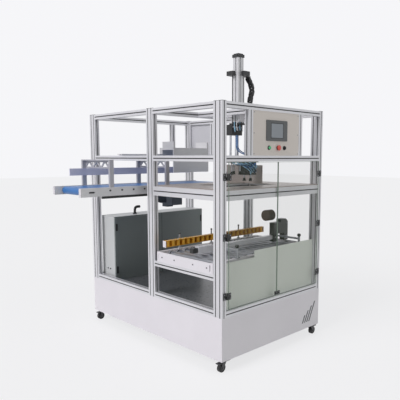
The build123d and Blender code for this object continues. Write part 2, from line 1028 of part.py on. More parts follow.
# Stands on both rails of the carton conveyor, with arms to the guide and the drive
guide_back = guide_near + guide_width
far_stand_y = carton_far + carton_rail_width / 2
near_stand_y = carton_near + carton_rail_width / 2
stand_top = guide_bottom + guide_height + stand_rise
guide_arm_bottom = guide_bottom + (guide_height - stand_arm) / 2
side_arm_bottom = beam_top - side_arm_size
with BuildPart() as guide_stands:
    for stand_x in guide_stand_xs:
        round_bar(
            (across(stand_x), far_stand_y, carton_rail_top),
            (0, 0, 1),
            stand_radius,
            stand_top - carton_rail_top,
            sides=bar_sides,
        )
        slab(
            (across(stand_x) - stand_arm / 2, across(stand_x) + stand_arm / 2),
            (guide_back, far_stand_y),
            (guide_arm_bottom, guide_arm_bottom + stand_arm),
        )
    for stand_x in side_stand_xs:
        arm_end = drive_near if across(stand_x) < beam_right else drive_block_near
        round_bar(
            (across(stand_x), near_stand_y, carton_rail_top),
            (0, 0, 1),
            side_stand_radius,
            side_stand_height,
            sides=bar_sides,
        )
        slab(
            (across(stand_x) - side_arm_size / 2, across(stand_x) + side_arm_size / 2),
            (near_stand_y, arm_end),
            (side_arm_bottom, side_arm_bottom + side_arm_size),
        )
save(guide_stands, "guide_stands")

# Inner panel behind the doors, notched over the end of the conveyor
panel_far = inward(inner_panel_back)
with BuildPart() as inner_panel:
    slab(
        (inner_left + inner_panel_gap, inner_right - inner_panel_gap),
        (panel_far - inner_panel_thickness, panel_far),
        (base_top, inner_panel_top),
    )
    slab(
        (inner_left + inner_panel_gap, inner_left + panel_notch_length),
        (panel_far - inner_panel_thickness, panel_far),
        (inner_panel_top - panel_notch_height, inner_panel_top),
        Mode.SUBTRACT,
    )
save(inner_panel, "inner_panel")

# Product pusher: a plate on a cross rail over the belt, with a blade hung from it
pusher_left = across(pusher_left_x)
pusher_right = pusher_left + pusher_width
pusher_near = inward(pusher_y)
pusher_top = pusher_bottom + pusher_height
with BuildPart() as product_pusher:
    slab(
        (pusher_left, pusher_right),
        (pusher_near, pusher_rail_y + profile),
        (pusher_bottom, pusher_top),
    )
    slab(
        (pusher_left, pusher_right),
        (pusher_rail_y, pusher_rail_y + profile),
        (pusher_rail_bottom + profile, pusher_bottom),
    )
    for wall_x in (pusher_left, pusher_right - pusher_height):
        slab(
            (wall_x, wall_x + pusher_height),
            (pusher_near, pusher_near + pusher_depth),
            (pusher_top, pusher_top + pusher_wall_height),
        )
    slab(
        (pusher_left, pusher_right),
        (pusher_near, pusher_near + pusher_height / 2),
        (pusher_bottom - pusher_blade_drop, pusher_bottom),
    )
save(product_pusher, "product_pusher")

# Electrical cabinet at the back, standing on the deck
cabinet_back = back - profile - cabinet_back_gap
cabinet_front = cabinet_back - cabinet_depth
cabinet_side = across(cabinet_left)
cabinet_end = inner_right - cabinet_right_gap
with BuildPart() as electrical_cabinet:
    slab(
        (cabinet_side, cabinet_end),
        (cabinet_front + cabinet_door_thickness, cabinet_back),
        (base_top, cabinet_top),
    )
    slab(
        (cabinet_side + cabinet_wall, cabinet_end - cabinet_wall),
        (cabinet_front + cabinet_door_thickness, cabinet_back - cabinet_wall),
        (base_top + cabinet_wall, cabinet_top - cabinet_wall),
        Mode.SUBTRACT,
    )
save(electrical_cabinet, "electrical_cabinet")

with BuildPart() as cabinet_door:
    slab(
        (cabinet_side, cabinet_end),
        (cabinet_front, cabinet_front + cabinet_door_thickness),
        (base_top, cabinet_top),
    )
    slab(
        (cabinet_side + cabinet_wall, cabinet_end - cabinet_wall),
        (cabinet_front + cabinet_wall, cabinet_front + cabinet_door_thickness),
        (base_top + cabinet_wall, cabinet_top - cabinet_wall),
        Mode.SUBTRACT,
    )
save(cabinet_door, "cabinet_door")

# Conduit elbow on the cabinet
conduit_line_y = cabinet_front + conduit_inset
with BuildPart() as cabinet_conduit:
    with BuildLine() as conduit_path:
        FilletPolyline(
            (across(conduit_x), conduit_line_y, cabinet_top),
            (across(conduit_x), conduit_line_y, cabinet_top + conduit_rise),
            (across(conduit_x + conduit_reach), conduit_line_y, cabinet_top + conduit_rise),
            radius=conduit_bend,
        )
    with BuildSketch(Plane.XY.offset(cabinet_top)):
        with Locations((across(conduit_x), conduit_line_y)):
            RegularPolygon(conduit_radius, pin_sides)
    sweep(path=conduit_path.wire())
    round_bar(
        (across(conduit_x), conduit_line_y, cabinet_top),
        (0, 0, 1),
        conduit_nut_radius,
        conduit_nut_height,
        sides=bar_sides,
    )
save(cabinet_conduit, "cabinet_conduit")

# Lift: a fixed mast through the roof and a carriage that hangs the pick head
lift_centre = across(lift_x)
mast_centre = inward(mast_y)
mast_left = lift_centre - mast_width / 2
mast_right = lift_centre + mast_width / 2
mast_front = mast_centre - mast_depth / 2
mast_back = mast_centre + mast_depth / 2
beams_left = lift_centre - lift_beam_gap / 2 - profile
beams_right = lift_centre + lift_beam_gap / 2 + profile
with BuildPart() as lift_beams:
    for beam_x in (beams_left, beams_right - profile):
        bar_y(front + profile, post_ys["middle"] + post_depth / 4, beam_x, top_rail_bottom)
    slab(
        (beams_left, beams_right),
        (mast_front - bracket_foot, mast_front),
        (frame_top, frame_top + bracket_thickness),
    )
    slab(
        (mast_left, mast_right),
        (mast_front - bracket_thickness, mast_front),
        (mast_bottom, frame_top),
    )
save(lift_beams, "lift_beams")

with BuildPart() as mast:
    with BuildSketch(Plane(origin=(lift_centre, mast_centre, mast_bottom))) as mast_section:
        profile_section(mast_width, mast_depth)
    extrude(mast_section.sketch, amount=mast_top - mast_bottom)
    slab(
        (mast_left - mast_cap_lip, mast_right + mast_cap_lip),
        (mast_front - mast_cap_lip, mast_back + mast_cap_lip),
        (mast_top, mast_top + mast_cap),
    )
save(mast, "mast")

collar_top = collar_bottom + collar_thickness
collar_left = lift_centre - collar_size / 2
collar_right = lift_centre + collar_size / 2
collar_front = mast_centre - collar_size / 2
collar_back = mast_centre + collar_size / 2
base_plate_top = mast_bottom - base_plate_gap
base_plate_bottom = base_plate_top - base_plate_thickness
arm_x = mast_right + carriage_clearance
arm_y = mast_back + carriage_clearance
link_points = [(across(chain_start_x), collar_bottom - chain_height / 2)]
for heading in chain_headings:
    lean = Vector(0, -chain_pitch).rotate(Axis.Z, heading)
    last_x, last_z = link_points[-1]
    link_points.append((last_x + lean.X, last_z + lean.Y))
anchor_half = chain_width / 2 - chain_plate
end_anchor_half = anchor_half - (len(chain_headings) - 1) % 2 * chain_plate
with BuildPart() as carriage:
    slab(
        (collar_left, collar_right),
        (collar_front, collar_back),
        (collar_bottom, collar_top),
    )
    slab(
        (mast_left - carriage_clearance, arm_x),
        (mast_front - carriage_clearance, arm_y),
        (collar_bottom, collar_top),
        Mode.SUBTRACT,
    )
    slab(
        (collar_left, lift_centre),
        (collar_front, mast_centre),
        (collar_bottom, collar_top),
        Mode.SUBTRACT,
    )
    slab(
        (arm_x, arm_x + arm_thickness),
        (mast_centre - arm_width / 2, mast_centre + arm_width / 2),
        (base_plate_bottom, collar_bottom),
    )
    slab(
        (lift_centre - arm_width / 2, lift_centre + arm_width / 2),
        (arm_y, arm_y + arm_thickness),
        (base_plate_bottom, collar_bottom),
    )
    slab(
        (arm_x + arm_thickness - base_plate_size, arm_x + arm_thickness),
        (arm_y + arm_thickness - base_plate_size, arm_y + arm_thickness),
        (base_plate_bottom, base_plate_top),
    )
    for tab_start, tab_z, pin, half in (
        (collar_right, collar_bottom, link_points[0], anchor_half),
        (arm_x + arm_thickness, base_plate_top - chain_tab_thickness, link_points[-1], end_anchor_half),
    ):
        slab(
            (tab_start, pin[0] + chain_height / 2),
            (mast_centre - half, mast_centre + half),
            (tab_z, tab_z + chain_tab_thickness),
        )
        slab(
            (pin[0] - chain_pin_radius, pin[0] + chain_pin_radius),
            (mast_centre - half, mast_centre + half),
            tuple(sorted((tab_z, pin[1]))),
        )
save(carriage, "carriage")

valve_x = lift_centre + valve_offset_x
valve_y = mast_centre + valve_offset_y
valve_bottom = base_plate_bottom - valve_height
with BuildPart() as valve_block:
    slab(
        (valve_x - valve_width / 2, valve_x + valve_width / 2),
        (valve_y - valve_depth / 2, valve_y + valve_depth / 2),
        (valve_bottom, base_plate_bottom),
    )
save(valve_block, "valve_block")

with BuildPart() as lift_rods:
    for rod_x, radius in (
        (valve_x + rod_offset_x, rod_radius),
        (valve_x + cylinder_offset_x, cylinder_radius),
    ):
        round_bar(
            (rod_x, valve_y, head_plate_top),
            (0, 0, 1),
            radius,
            valve_bottom - head_plate_top,
            sides=roller_sides,
        )
save(lift_rods, "lift_rods")

head_near = valve_y - head_depth / 2
head_far = valve_y + head_depth / 2
plate_low = head_plate_top - head_plate_thickness
manifold_left = across(manifold_left_x)
manifold_right = manifold_left + manifold_width
manifold_bottom = plate_low - manifold_height
with BuildPart() as pick_head:
    slab(
        (across(head_left_x), across(head_right_x)),
        (head_near, head_far),
        (plate_low, head_plate_top),
    )
    slab(
        (manifold_left, manifold_right),
        (head_near, head_far),
        (manifold_bottom, plate_low),
    )
save(pick_head, "pick_head")

with BuildPart() as suction_cups:
    for cup_x in cup_xs:
        under_manifold = manifold_left < across(cup_x) < manifold_right
        stem_top = manifold_bottom if under_manifold else plate_low
        stem = cup_height if under_manifold else stem_length
        for cup_y in (valve_y - cup_pitch_y / 2, valve_y + cup_pitch_y / 2):
            stem_foot = stem_top - stem
            neck = (across(cup_x), cup_y, stem_foot)
            rim = (across(cup_x), cup_y, stem_foot - cup_height + cup_lip)
            round_bar(neck, (0, 0, 1), stem_radius, stem, sides=bar_sides)
            with BuildSketch(Plane(origin=neck)) as neck_section:
                RegularPolygon(stem_radius, bar_sides)
            with BuildSketch(Plane(origin=rim)) as rim_section:
                RegularPolygon(cup_radius, bar_sides)
            loft([neck_section.sketch, rim_section.sketch], ruled=True)
            round_bar(rim, (0, 0, -1), cup_radius, cup_lip, sides=bar_sides)
save(suction_cups, "suction_cups")


def tube(*points):
    """An air tube along straight runs joined by round bends."""
    with BuildLine(mode=Mode.PRIVATE) as route:
        FilletPolyline(*points, radius=tube_bend)
    path = route.wire()
    start = Plane(origin=path @ 0, z_dir=path % 0)
    with BuildSketch(start) as end:
        RegularPolygon(tube_radius, pin_sides)
    sweep(end.sketch, path=path)


# Air tubes from the valve block to the head, and over the head to its fittings
hop = head_plate_top + tube_rise
feed_drop = tube_rise + 2 * tube_bend
tube_pitch = 2 * tube_radius + tube_gap / 2
feed_line = valve_y - cylinder_radius - tube_radius - 2 * tube_gap
with BuildPart() as air_tubes:
    for feed_x, feed_y, fitting_x in (
        (valve_x - tube_bend, feed_line - tube_pitch, manifold_left),
        (valve_x + tube_bend / 2, feed_line, manifold_right - tube_bend),
    ):
        tube(
            (feed_x, feed_y, valve_bottom),
            (feed_x, feed_y, hop + feed_drop),
            (fitting_x, feed_y, hop),
            (fitting_x, feed_y, head_plate_top),
        )
    for lane, lane_y in enumerate(
        (feed_line - 2 * tube_pitch, valve_y + cylinder_radius + tube_pitch, head_far - tube_pitch)
    ):
        lane_start = across(head_left_x) + tube_bend + lane * 3 * tube_radius
        lane_end = across(head_right_x) - tube_bend - lane * 3 * tube_radius
        tube(
            (lane_start, lane_y, head_plate_top),
            (lane_start, lane_y, hop),
            (lane_end, lane_y, hop),
            (lane_end, lane_y, head_plate_top),
        )
save(air_tubes, "air_tubes")

# Energy chain: open links with overlapping side plates, pins and cross bars
chain_near = mast_centre - chain_width / 2
chain_far = mast_centre + chain_width / 2


def chain_layer(y, depth, parity, shape):
    """Extrude one layer of the chain, made of one shape on every second link."""
    with BuildSketch(Plane(origin=(0, y + depth, 0), x_dir=(1, 0, 0), z_dir=(0, -1, 0))) as layer:
        for index in range(parity, len(chain_headings), 2):
            start_x, start_z = link_points[index]
            end_x, end_z = link_points[index + 1]
            middle = ((start_x + end_x) / 2, (start_z + end_z) / 2)
            with Locations(Location(middle, chain_headings[index] + 90)):
                shape()
    extrude(layer.sketch, amount=depth)


def link_plate():
    """A side plate with cut corners, reaching half its height past both of its pins."""
    end = (chain_pitch + chain_height) / 2
    side = chain_height / 2
    Polygon(
        (-end, chain_corner - side),
        (chain_corner - end, -side),
        (end - chain_corner, -side),
        (end, chain_corner - side),
        (end, side - chain_corner),
        (end - chain_corner, side),
        (chain_corner - end, side),
        (-end, side - chain_corner),
        align=None,
    )


def cross_bars():
    """The two bars that close a link inside and outside the curve."""
    with GridLocations(0, chain_height - chain_bar_thickness, 1, 2):
        Rectangle(chain_bar_length, chain_bar_thickness)


with BuildPart() as energy_chain:
    for parity, inset in ((0, 0), (1, chain_plate)):
        chain_layer(chain_near + inset, chain_plate, parity, link_plate)
        chain_layer(chain_far - inset - chain_plate, chain_plate, parity, link_plate)
        bar_start = chain_near + inset + chain_plate
        bar_end = chain_far - inset - chain_plate
        chain_layer(bar_start, bar_end - bar_start, parity, cross_bars)
    for pin_x, pin_z in link_points[1:-1]:
        for pin_start in (chain_near - chain_pin_proud, chain_far - 2 * chain_plate):
            round_bar(
                (pin_x, pin_start, pin_z),
                (0, 1, 0),
                chain_pin_radius,
                2 * chain_plate + chain_pin_proud,
                sides=pin_sides,
            )
save(energy_chain, "energy_chain")
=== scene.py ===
import bmesh
import bpy
import math
import random
from mathutils import Matrix, Vector


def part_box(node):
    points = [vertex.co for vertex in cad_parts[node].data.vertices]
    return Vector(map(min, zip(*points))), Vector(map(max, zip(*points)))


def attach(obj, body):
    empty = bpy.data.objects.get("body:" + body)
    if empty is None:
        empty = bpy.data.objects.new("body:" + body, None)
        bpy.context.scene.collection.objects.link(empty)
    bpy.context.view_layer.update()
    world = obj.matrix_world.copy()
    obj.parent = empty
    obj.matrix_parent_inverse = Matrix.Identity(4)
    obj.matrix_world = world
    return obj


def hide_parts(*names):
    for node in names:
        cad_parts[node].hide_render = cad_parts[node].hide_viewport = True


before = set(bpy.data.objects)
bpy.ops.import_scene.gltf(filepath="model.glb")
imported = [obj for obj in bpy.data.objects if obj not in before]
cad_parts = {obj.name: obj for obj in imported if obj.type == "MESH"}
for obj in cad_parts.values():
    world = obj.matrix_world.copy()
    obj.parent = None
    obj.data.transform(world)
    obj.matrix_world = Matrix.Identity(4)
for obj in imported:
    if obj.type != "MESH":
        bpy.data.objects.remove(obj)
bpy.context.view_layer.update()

# Places are millimetres from the left face, the front face and the floor
skirt_low, skirt_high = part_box("base_skirt")
MM = 0.001
SHARP_ANGLE = math.radians(35)
draws = random.Random(11)


def at(x, y, z):
    """A point given in millimetres from the left face, the front face and the floor."""
    return Vector((skirt_low.x + x * MM, skirt_low.y + y * MM, z * MM))


def srgb(red, green, blue):
    """A colour as it is seen, turned into the linear values that shaders take."""
    return tuple(
        value / 12.92 if value <= 0.04045 else ((value + 0.055) / 1.055) ** 2.4
        for value in (red, green, blue)
    )


# Camera, floor and light

CAMERA_PLACE = (-2.46891, -2.98606, 1.43136)
CAMERA_PITCH, CAMERA_ROLL, CAMERA_YAW = 83.423, -0.0644, -44.679
CAMERA_LENS = 44.04
CAMERA_SHIFT = (-0.0553, 0.0331)
BACKGROUND = srgb(0.965, 0.965, 0.975)
FLOOR_GLOW = (0.985, 0.985, 1.0)
SHADOW_SHARE = 0.25
WORLD_LEVEL = 0.36


def make_camera():
    data = bpy.data.cameras.new("camera")
    data.lens = CAMERA_LENS
    data.shift_x, data.shift_y = CAMERA_SHIFT
    data.clip_end = 100
    camera = bpy.data.objects.new("camera", data)
    camera.location = CAMERA_PLACE
    camera.rotation_euler = [math.radians(a) for a in (CAMERA_PITCH, CAMERA_ROLL, CAMERA_YAW)]
    bpy.context.scene.collection.objects.link(camera)
    bpy.context.scene.camera = camera


def seen_ray(tree):
    """1 for rays that see the backdrop: from the camera, or off or through the object."""
    path = tree.nodes.new("ShaderNodeLightPath")
    first = tree.nodes.new("ShaderNodeMath")
    first.operation = "MAXIMUM"
    tree.links.new(path.outputs["Is Camera Ray"], first.inputs[0])
    tree.links.new(path.outputs["Is Glossy Ray"], first.inputs[1])
    second = tree.nodes.new("ShaderNodeMath")
    second.operation = "MAXIMUM"
    tree.links.new(first.outputs[0], second.inputs[0])
    tree.links.new(path.outputs["Is Transmission Ray"], second.inputs[1])
    return second.outputs[0]


def make_world():
    world = bpy.data.worlds.new("studio")
    world.use_nodes = True
    tree = world.node_tree
    tree.nodes.clear()
    light = tree.nodes.new("ShaderNodeBackground")
    light.inputs["Color"].default_value = (0.98, 1.0, 0.985, 1)
    light.inputs["Strength"].default_value = WORLD_LEVEL
    seen = tree.nodes.new("ShaderNodeBackground")
    seen.inputs["Color"].default_value = (*BACKGROUND, 1)
    mix = tree.nodes.new("ShaderNodeMixShader")
    output = tree.nodes.new("ShaderNodeOutputWorld")
    tree.links.new(seen_ray(tree), mix.inputs[0])
    tree.links.new(light.outputs[0], mix.inputs[1])
    tree.links.new(seen.outputs[0], mix.inputs[2])
    tree.links.new(mix.outputs[0], output.inputs["Surface"])
    bpy.context.scene.world = world


def floor_material():
    material = bpy.data.materials.new("pale_floor")
    material.use_nodes = True
    tree = material.node_tree
    tree.nodes.clear()
    matt = tree.nodes.new("ShaderNodeBsdfDiffuse")
    matt.inputs["Color"].default_value = (0.74, 0.74, 0.74, 1)
    bright = tree.nodes.new("ShaderNodeEmission")
    bright.inputs["Color"].default_value = (*FLOOR_GLOW, 1)
    shown = tree.nodes.new("ShaderNodeMixShader")
    shown.inputs[0].default_value = SHADOW_SHARE
    tree.links.new(bright.outputs[0], shown.inputs[1])
    tree.links.new(matt.outputs[0], shown.inputs[2])
    mix = tree.nodes.new("ShaderNodeMixShader")
    output = tree.nodes.new("ShaderNodeOutputMaterial")
    tree.links.new(seen_ray(tree), mix.inputs[0])
    tree.links.new(matt.outputs[0], mix.inputs[1])
    tree.links.new(shown.outputs[0], mix.inputs[2])
    tree.links.new(mix.outputs[0], output.inputs["Surface"])
    return material


def make_floor():
    half = 30
    mesh = bpy.data.meshes.new("floor")
    corners = [(-half, -half, 0), (half, -half, 0), (half, half, 0), (-half, half, 0)]
    mesh.from_pydata(corners, [], [(0, 1, 2, 3)])
    floor = bpy.data.objects.new("floor", mesh)
    bpy.context.scene.collection.objects.link(floor)
    mesh.materials.append(floor_material())


def make_lamp(name, source, spread_angle, power, colour):
    """A broad distant lamp that shines from a direction."""
    data = bpy.data.lights.new(name, "SUN")
    data.angle = math.radians(spread_angle)
    data.energy = power
    data.color = colour
    lamp = bpy.data.objects.new(name, data)
    lamp.rotation_euler = (-Vector(source)).to_track_quat("-Z", "Y").to_euler()
    bpy.context.scene.collection.objects.link(lamp)


def make_light():
    make_lamp("key_lamp", (-0.80, 0.02, 0.55), 28, 1.75, (1.0, 0.97, 1.0))
    make_lamp("fill_lamp", (0.2, -0.9, 0.45), 40, 0.3, (1.0, 1.0, 0.98))


# Materials


def noise(tree, place, scale, detail, stretch=(1, 1, 1)):
    mapping = tree.nodes.new("ShaderNodeMapping")
    mapping.inputs["Scale"].default_value = stretch
    tree.links.new(place, mapping.inputs["Vector"])
    texture = tree.nodes.new("ShaderNodeTexNoise")
    texture.inputs["Scale"].default_value = scale
    texture.inputs["Detail"].default_value = detail
    tree.links.new(mapping.outputs[0], texture.inputs["Vector"])
    return texture.outputs["Fac"]


def spread(tree, value, low, high):
    """A noise value stretched to a range."""
    ranged = tree.nodes.new("ShaderNodeMapRange")
    ranged.inputs["From Min"].default_value = 0.3
    ranged.inputs["From Max"].default_value = 0.7
    ranged.inputs["To Min"].default_value = low
    ranged.inputs["To Max"].default_value = high
    tree.links.new(value, ranged.inputs["Value"])
    return ranged.outputs[0]


def blend_colour(tree, factor, first, second):
    mix = tree.nodes.new("ShaderNodeMix")
    mix.data_type = "RGBA"
    mix.inputs[6].default_value = (*first, 1)
    mix.inputs[7].default_value = (*second, 1)
    tree.links.new(factor, mix.inputs[0])
    return mix.outputs[2]


def finish(
    name,
    colour,
    roughness,
    metallic=0.0,
    variation=0.05,
    grain=420,
    stretch=(1, 1, 1),
    relief=0.1,
    coat=0.0,
    alpha=1.0,
):
    """A surface with broad tonal drift, a fine grain, and roughness and bump that follow the grain."""
    material = bpy.data.materials.new(name)
    material.use_nodes = True
    tree = material.node_tree
    shader = tree.nodes["Principled BSDF"]
    place = tree.nodes.new("ShaderNodeTexCoord").outputs["Object"]
    fine = noise(tree, place, grain, 3, stretch)
    broad = noise(tree, place, 3.5, 4)
    both = tree.nodes.new("ShaderNodeMath")
    both.operation = "MULTIPLY_ADD"
    both.inputs[1].default_value = 0.45
    tree.links.new(fine, both.inputs[0])
    half = tree.nodes.new("ShaderNodeMath")
    half.operation = "MULTIPLY"
    half.inputs[1].default_value = 0.55
    tree.links.new(broad, half.inputs[0])
    tree.links.new(half.outputs[0], both.inputs[2])
    seen = srgb(*colour)
    dark = [c * (1 - variation) for c in seen]
    light = [min(1, c * (1 + variation)) for c in seen]
    tone = spread(tree, both.outputs[0], 0, 1)
    tree.links.new(blend_colour(tree, tone, dark, light), shader.inputs["Base Color"])
    tree.links.new(
        spread(tree, fine, max(0.02, roughness - 0.07), roughness + 0.07), shader.inputs["Roughness"]
    )
    bump = tree.nodes.new("ShaderNodeBump")
    bump.inputs["Strength"].default_value = relief
    bump.inputs["Distance"].default_value = 0.0006
    tree.links.new(fine, bump.inputs["Height"])
    tree.links.new(bump.outputs[0], shader.inputs["Normal"])
    shader.inputs["Metallic"].default_value = metallic
    shader.inputs["Coat Weight"].default_value = coat
    shader.inputs["Alpha"].default_value = alpha
    return material


BRUSHED_X = (0.05, 1, 1)
M = {
    "aluminium_profile": finish("anodised_profile", (0.87, 0.87, 0.885), 0.36, 0.35, 0.05, 900),
    "white_sheet": finish("powder_coat", (0.91, 0.90, 0.92), 0.5, 0.0, 0.03, 700, relief=0.2),
    "dark_deck": finish("deck_sheet", (0.36, 0.37, 0.38), 0.32, 0.0, 0.2, 60, relief=0.04),
    "dark_steel": finish("coated_steel", (0.33, 0.33, 0.34), 0.45, 0.3, 0.15, 300),
    "black_plastic": finish("black_nylon", (0.12, 0.125, 0.13), 0.42, 0.0, 0.2, 900, relief=0.2),
    "black_rubber": finish("black_rubber", (0.12, 0.12, 0.125), 0.6, 0.0, 0.25, 600, relief=0.3),
    "black_metal": finish("black_anodised", (0.17, 0.175, 0.18), 0.42, 0.0, 0.2, 800),
    "clear_sheet": finish("clear_acrylic", (0.42, 0.48, 0.40), 0.06, 0, 0.02, 5, relief=0, alpha=0.08),
    "beige_panel": finish("textured_panel", (0.89, 0.86, 0.835), 0.5, 0, 0.035, 650, relief=0.25),
    "screen": finish("bezel_plastic", (0.36, 0.37, 0.375), 0.45, 0.0, 0.1, 900, relief=0.15),
    "buttons": finish("button_plastic", (0.14, 0.14, 0.145), 0.35, 0.0, 0.1, 700),
    "stainless": finish("brushed_stainless", (0.66, 0.62, 0.60), 0.34, 0.3, 0.08, 500, BRUSHED_X),
    "rail_grey": finish("satin_plate", (0.84, 0.84, 0.85), 0.42, 0.15, 0.06, 500, BRUSHED_X),
    "blue_belt": finish("belt_cover", (0.20, 0.45, 0.72), 0.4, 0.0, 0.12, 260, relief=0.25),
    "steel": finish("turned_steel", (0.66, 0.67, 0.69), 0.3, 0.5, 0.1, 400),
    "motor_grey": finish("motor_enamel", (0.27, 0.31, 0.36), 0.42, 0.1, 0.15, 350, relief=0.25),
    "yellow_guide": finish("yellow_nylon", (0.93, 0.70, 0.22), 0.42, 0.0, 0.12, 300),
    "cabinet_grey": finish("cabinet_enamel", (0.50, 0.53, 0.53), 0.42, 0, 0.08, 600, relief=0.25),
    "chrome_rod": finish("ground_rod", (0.78, 0.79, 0.81), 0.12, 0.9, 0.06, 700, (1, 1, 8)),
    "blue_tube": finish("light_tube", (0.60, 0.79, 0.90), 0.3, 0.0, 0.12, 220, relief=0.05),
    "grey_panel": finish("satin_grey_sheet", (0.80, 0.80, 0.82), 0.42, 0.05, 0.05, 500),
}
BRIDGE_GREY = finish("bridge_plate", (0.70, 0.70, 0.73), 0.45, 0.15, 0.08, 450)
BAR_LILAC = finish("guide_bar_plate", (0.83, 0.825, 0.90), 0.42, 0.1, 0.06, 450, BRUSHED_X)
PANEL_GREEN = finish("inner_sheet", (0.93, 0.95, 0.92), 0.5, 0.0, 0.04, 650, relief=0.2)
CABINET_SIDE = finish("cabinet_side", (0.80, 0.81, 0.81), 0.45, 0.0, 0.04, 600, relief=0.2)
DARK_GLASS = finish("display_glass", (0.52, 0.55, 0.58), 0.12, 0.0, 0.08, 8, relief=0, coat=0.6)
GREEN_LENS = finish("green_lens", (0.30, 0.76, 0.50), 0.25, 0.0, 0.15, 500, coat=0.4)
RED_HEAD = finish("red_head", (0.86, 0.30, 0.24), 0.3, 0.0, 0.12, 500, coat=0.4)
BLUE_TUBE = finish("blue_tube_mid", (0.18, 0.45, 0.72), 0.28, 0.0, 0.15, 220, relief=0.05)
DEEP_TUBE = finish("blue_tube_deep", (0.14, 0.28, 0.42), 0.3, 0.0, 0.15, 220, relief=0.05)
WHITE_TUBE = finish("white_tube", (0.93, 0.94, 0.96), 0.3, 0.0, 0.05, 220, relief=0.05)
STRIPE_GREY = finish("stripe_film", (0.30, 0.31, 0.33), 0.4, 0.0, 0.08, 700)
EDGE_GREEN = finish("sheet_edge", (0.50, 0.56, 0.51), 0.25, 0.0, 0.08, 200, relief=0.05)
BROWN_MOTOR = finish("motor_brown", (0.30, 0.24, 0.21), 0.45, 0.0, 0.15, 350, relief=0.25)
# Painted shade standing in for the dark insides of slots; the cabinet door seam also takes it.
SLOT_DARK = finish("slot_shadow", (0.16, 0.16, 0.17), 0.6, 0.0, 0.2, 400)

NODE_FINISH = {
    "belt_bridges": BRIDGE_GREY,
    "guide_bar": BAR_LILAC,
    "inner_panel": PANEL_GREEN,
    "electrical_cabinet": CABINET_SIDE,
}


def dress_nodes():
    """Every CAD node takes the finish of its material slot, or its own."""
    for name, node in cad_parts.items():
        for slot in node.material_slots:
            slot.material = NODE_FINISH.get(name) or M[slot.material.name.split(".")[0]]


# Shapes


def add_box(shape, low, high):
    low, high = Vector(low), Vector(high)
    size = high - low
    place = Matrix.Translation((low + high) / 2) @ Matrix.Diagonal((*size, 1))
    bmesh.ops.create_cube(shape, size=1, matrix=place)


def add_rod(shape, start, end, radius, end_radius=None, sides=24):
    """A round bar or a cone between two points."""
    start, end = Vector(start), Vector(end)
    axis = end - start
    turn = axis.to_track_quat("Z", "Y").to_matrix().to_4x4()
    bmesh.ops.create_cone(
        shape,
        cap_ends=True,
        segments=sides,
        radius1=radius,
        radius2=radius if end_radius is None else end_radius,
        depth=axis.length,
        matrix=Matrix.Translation((start + end) / 2) @ turn,
    )


def add_screw(shape, place, direction, radius):
    """A screw head: a short round head with a chamfered top."""
    place, direction = Vector(place), Vector(direction).normalized()
    add_rod(shape, place, place + direction * radius * 0.7, radius, sides=20)
    add_rod(shape, place + direction * radius * 0.7, place + direction * radius, radius, radius * 0.8, 20)


def piece(name, shape, material, body="frame", bevel=0.0, replaces=()):
    """A finished mesh that rides on a body."""
    mesh = bpy.data.meshes.new(name)
    bmesh.ops.recalc_face_normals(shape, faces=shape.faces)
    shape.to_mesh(mesh)
    shape.free()
    mesh.materials.append(material)
    mesh.polygons.foreach_set("use_smooth", [True] * len(mesh.polygons))
    mesh.set_sharp_from_angle(angle=SHARP_ANGLE)
    made = bpy.data.objects.new(name, mesh)
    bpy.context.scene.collection.objects.link(made)
    if bevel:
        rounding = made.modifiers.new("rounding", "BEVEL")
        rounding.width = bevel
        rounding.segments = 2
        rounding.limit_method = "ANGLE"
    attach(made, body)
    if replaces:
        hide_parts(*replaces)
    return made


def tubes(name, routes, radius, material, body, replaces=()):
    """Held tubes of one colour, each a smooth line through its own points."""
    data = bpy.data.curves.new(name, "CURVE")
    data.dimensions = "3D"
    data.bevel_depth = radius
    data.bevel_resolution = 3
    data.resolution_u = 8
    data.use_fill_caps = True
    for route in routes:
        spline = data.splines.new("NURBS")
        spline.points.add(len(route) - 1)
        for point, place in zip(spline.points, route):
            point.co = (*place, 1)
        spline.order_u = 3
        spline.use_endpoint_u = True
    data.materials.append(material)
    made = bpy.data.objects.new(name, data)
    bpy.context.scene.collection.objects.link(made)
    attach(made, body)
    if replaces:
        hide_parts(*replaces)
    return made


# Frame and base


def add_slot_strips(shape, low, high, along):
    """Dark strips of painted shade lying in the slots on the four sides of a bar, a little under its
    surface.
    """
    low, high = Vector(low), Vector(high)
    half_width, near, far = 0.0038, 0.0016, 0.0036
    across = [axis for axis in range(3) if axis != along]
    for face_axis, slot_axis in (across, across[::-1]):
        size = high[slot_axis] - low[slot_axis]
        slots = max(1, int(size / 0.0399))
        for index in range(slots):
            middle = low[slot_axis] + (index + 0.5) * size / slots
            for side in (0, 1):
                corner_low, corner_high = low.copy(), high.copy()
                corner_low[slot_axis] = middle - half_width
                corner_high[slot_axis] = middle + half_width
                if side:
                    corner_low[face_axis] = high[face_axis] - far
                    corner_high[face_axis] = high[face_axis] - near
                else:
                    corner_low[face_axis] = low[face_axis] + near
                    corner_high[face_axis] = low[face_axis] + far
                add_box(shape, corner_low, corner_high)


